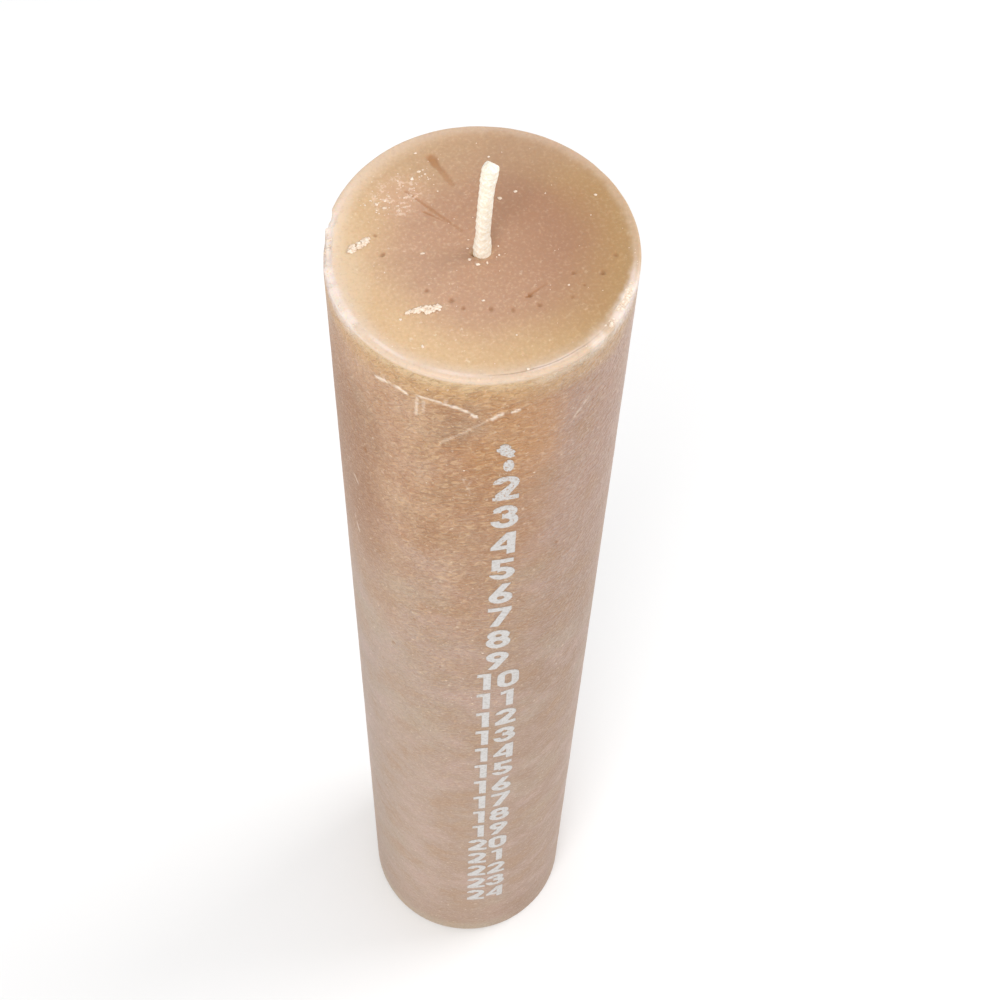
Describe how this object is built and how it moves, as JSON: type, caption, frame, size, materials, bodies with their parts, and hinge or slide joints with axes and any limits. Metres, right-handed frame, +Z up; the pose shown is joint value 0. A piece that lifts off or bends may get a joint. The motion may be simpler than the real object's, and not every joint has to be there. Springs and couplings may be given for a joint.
{
  "type": "calendar pillar candle",
  "caption": "Tall round wax pillar candle with a braided wick on a tin sustainer and a column of day numbers printed down its front, burnt down from number to number.",
  "frame": {"origin": "centre of the base, on the plane the candle stands on", "axes": "+Z up along the pillar to the wick, the numbers face -Y and read along +X, and the wick's free end leans to +X"},
  "size_m": [0.055, 0.0552, 0.3223],
  "materials": {
    "wax": "cast wax, satin, slightly translucent, fine grain",
    "wick_cotton": "braided cotton primed with wax",
    "tin": "thin tinplate",
    "print_white": "matt white printed film"
  },
  "bodies": {
    "root": {"wax_pillar": "wax", "wick": "wick_cotton", "wick_sustainer": "tin", "number_01": "print_white", "number_02": "print_white", "number_03": "print_white", "number_04": "print_white", "number_05": "print_white", "number_06": "print_white", "number_07": "print_white", "number_08": "print_white", "number_09": "print_white", "number_10": "print_white", "number_11": "print_white", "number_12": "print_white", "number_13": "print_white", "number_14": "print_white", "number_15": "print_white", "number_16": "print_white", "number_17": "print_white", "number_18": "print_white", "number_19": "print_white", "number_20": "print_white", "number_21": "print_white", "number_22": "print_white", "number_23": "print_white", "number_24": "print_white"}
  },
  "joints": []
}
